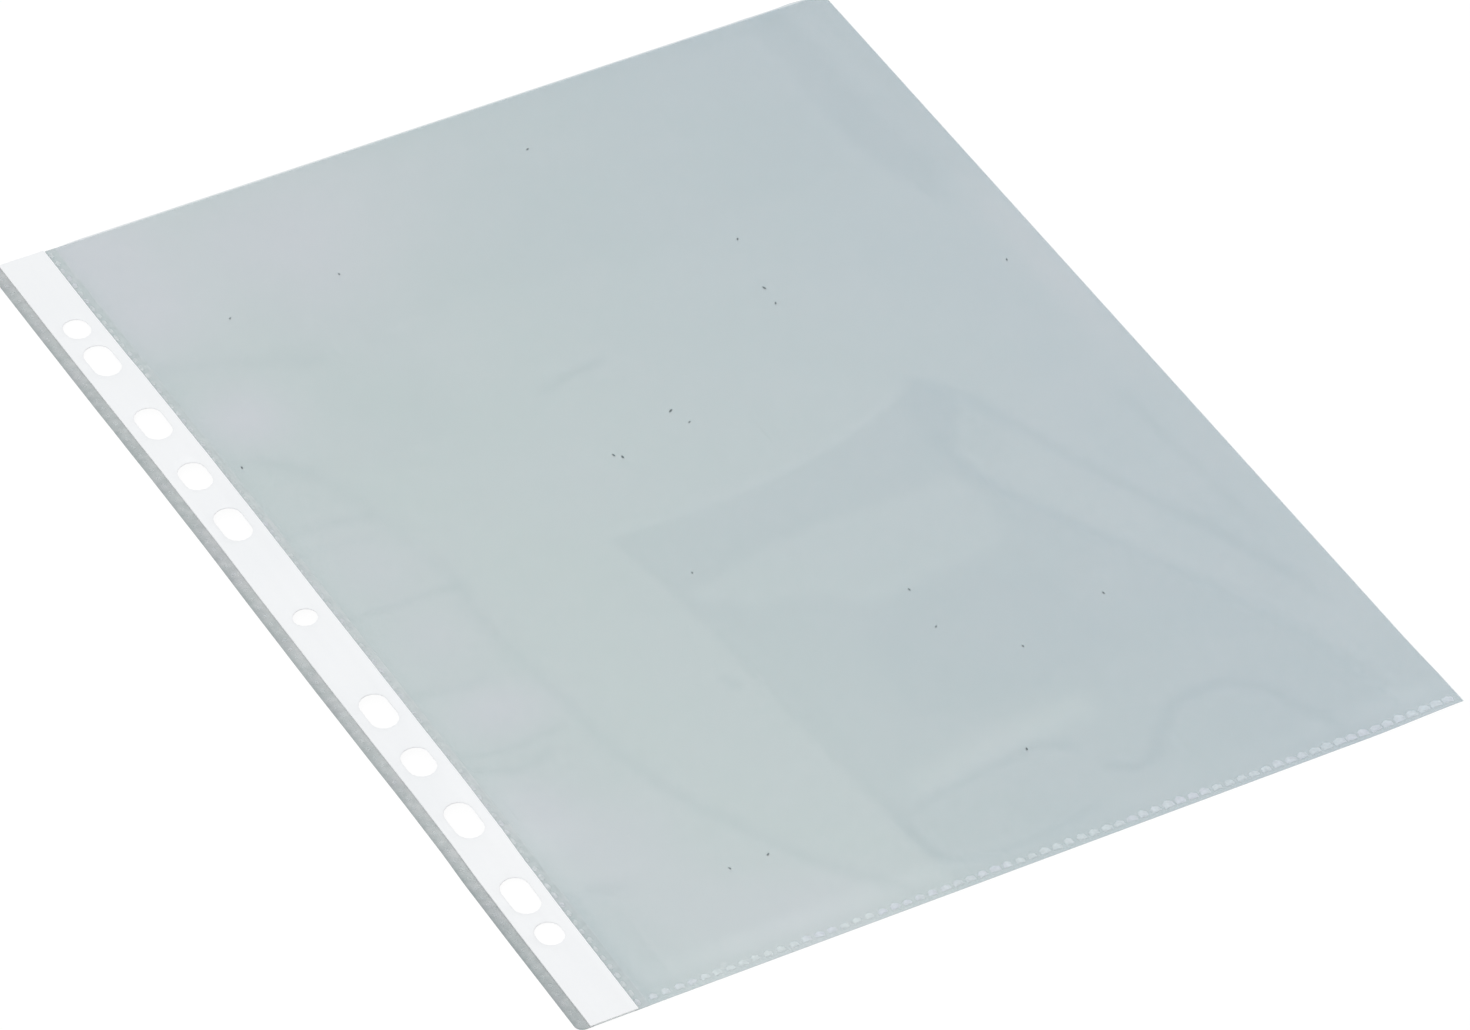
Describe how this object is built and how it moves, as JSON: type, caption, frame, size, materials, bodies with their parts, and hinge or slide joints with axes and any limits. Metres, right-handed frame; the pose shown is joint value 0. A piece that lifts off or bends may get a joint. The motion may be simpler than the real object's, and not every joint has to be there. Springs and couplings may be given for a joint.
{
  "type": "sheet protector",
  "caption": "Flat clear film pocket, open at the top and folded at one side, with a white punched strip for ring binders.",
  "frame": {"origin": "under the middle of the pocket, on the plane that it lies on", "axes": "+Y up the page to the open mouth, +X from the binding strip to the fold, +Z out of the front panel"},
  "size_m": [0.235, 0.305, 0.0006],
  "materials": {
    "strip": "matt white polypropylene strip",
    "film": "clear polypropylene film, soft sheen",
    "weld": "clear film, heat sealed and hazy at the beads"
  },
  "bodies": {
    "binding": {"binding_strip": "strip", "front_margin_film": "film", "back_margin_film": "film", "edge_weld": "weld", "spine_weld": "weld"},
    "pocket": {"back_film": "film", "bottom_weld": "weld", "side_fold": "film"},
    "front_panel": {"front_film": "film"}
  },
  "joints": [
    {"name": "page_turn", "type": "hinge", "parent": "binding", "child": "pocket", "pos_m": [-0.0994, 0, 0.0002], "axis": [0, -1, 0], "range_deg": [0, 90]},
    {"name": "mouth_open", "type": "hinge", "parent": "pocket", "child": "front_panel", "pos_m": [0, -0.14775, 0.0003], "axis": [1, 0, 0], "range_deg": [0, 3]}
  ]
}
